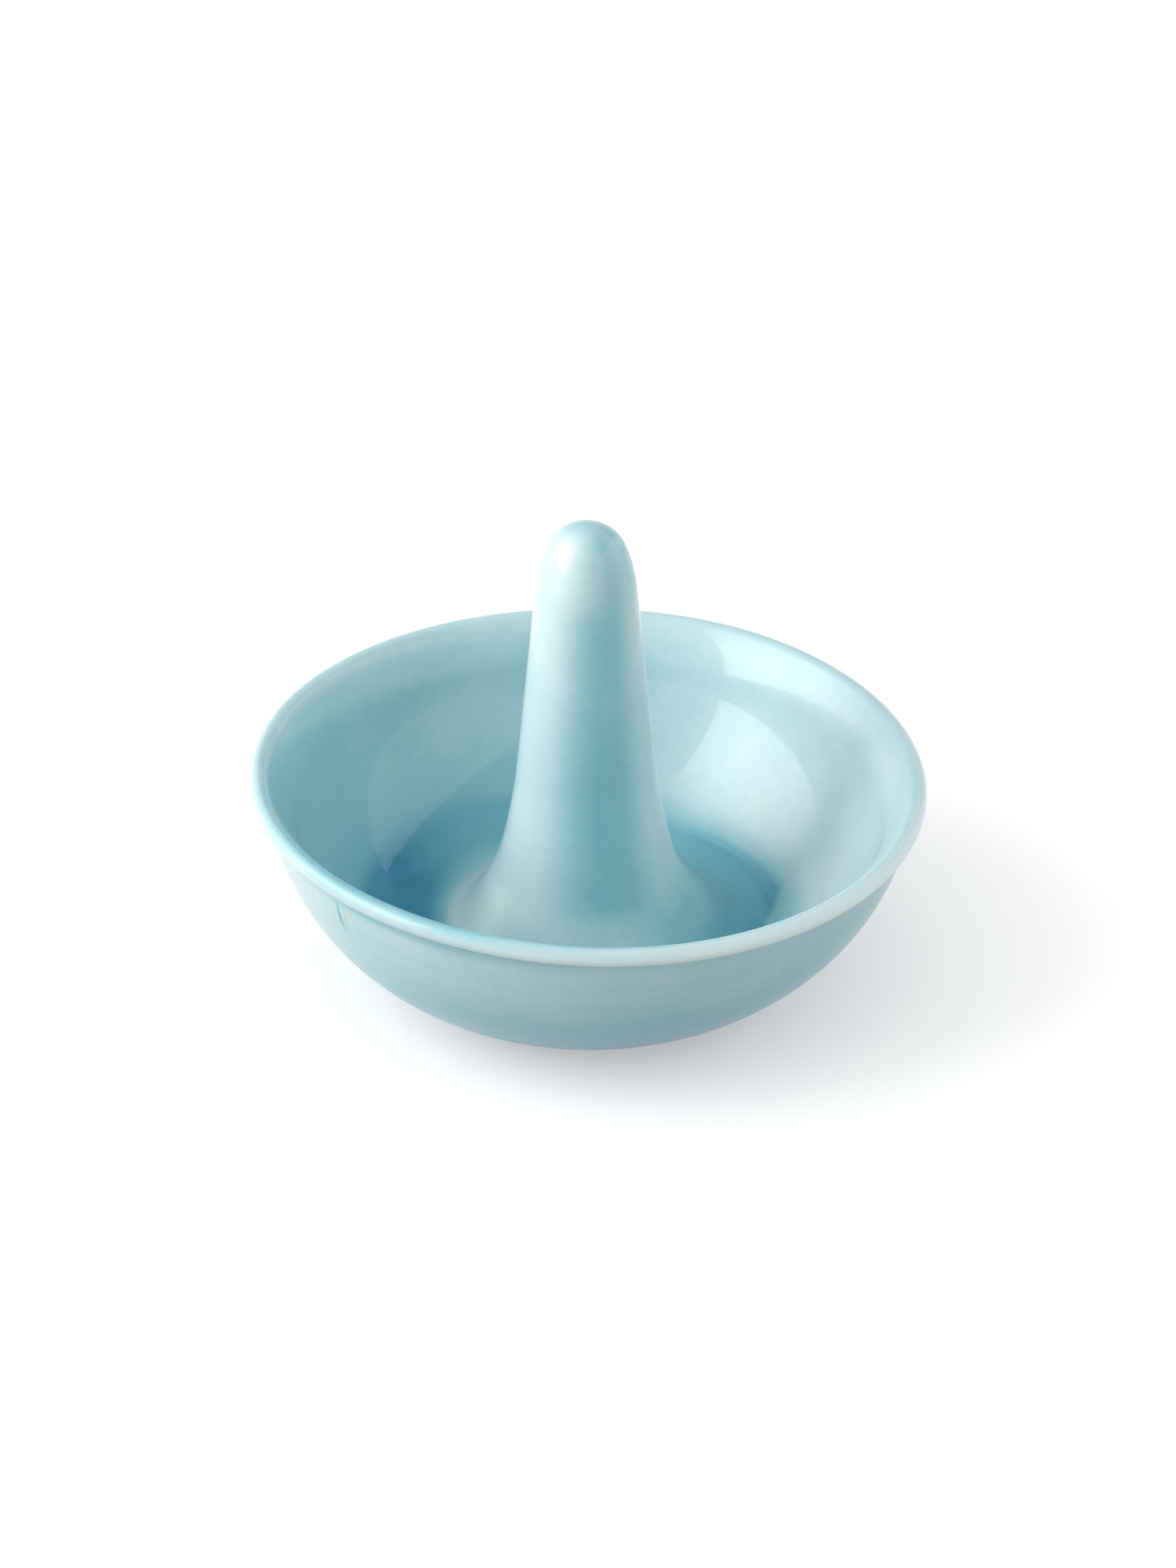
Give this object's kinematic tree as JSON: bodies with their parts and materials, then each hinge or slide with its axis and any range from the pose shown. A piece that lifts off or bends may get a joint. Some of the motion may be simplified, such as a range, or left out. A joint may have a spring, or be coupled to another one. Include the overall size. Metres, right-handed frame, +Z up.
{
  "type": "ring dish",
  "caption": "Round glazed ceramic ring dish: a shallow rolled-rim bowl with a tapering round-tipped post rising from its floor to hold finger rings.",
  "frame": {"origin": "centre of the circle that the foot ring rests on", "axes": "+Z up along the post; the dish is a body of revolution about Z"},
  "size_m": [0.102, 0.102, 0.075],
  "materials": {
    "fired_clay": "bare fired clay, matte and slightly grainy",
    "blue_glaze": "glossy translucent pale blue glaze, paler at edges and deeper where it pools"
  },
  "bodies": {
    "root": {"bowl": "fired_clay", "ring_post": "fired_clay", "lute_seam": "fired_clay", "glaze_coat": "blue_glaze", "base_glaze": "blue_glaze"}
  },
  "joints": []
}
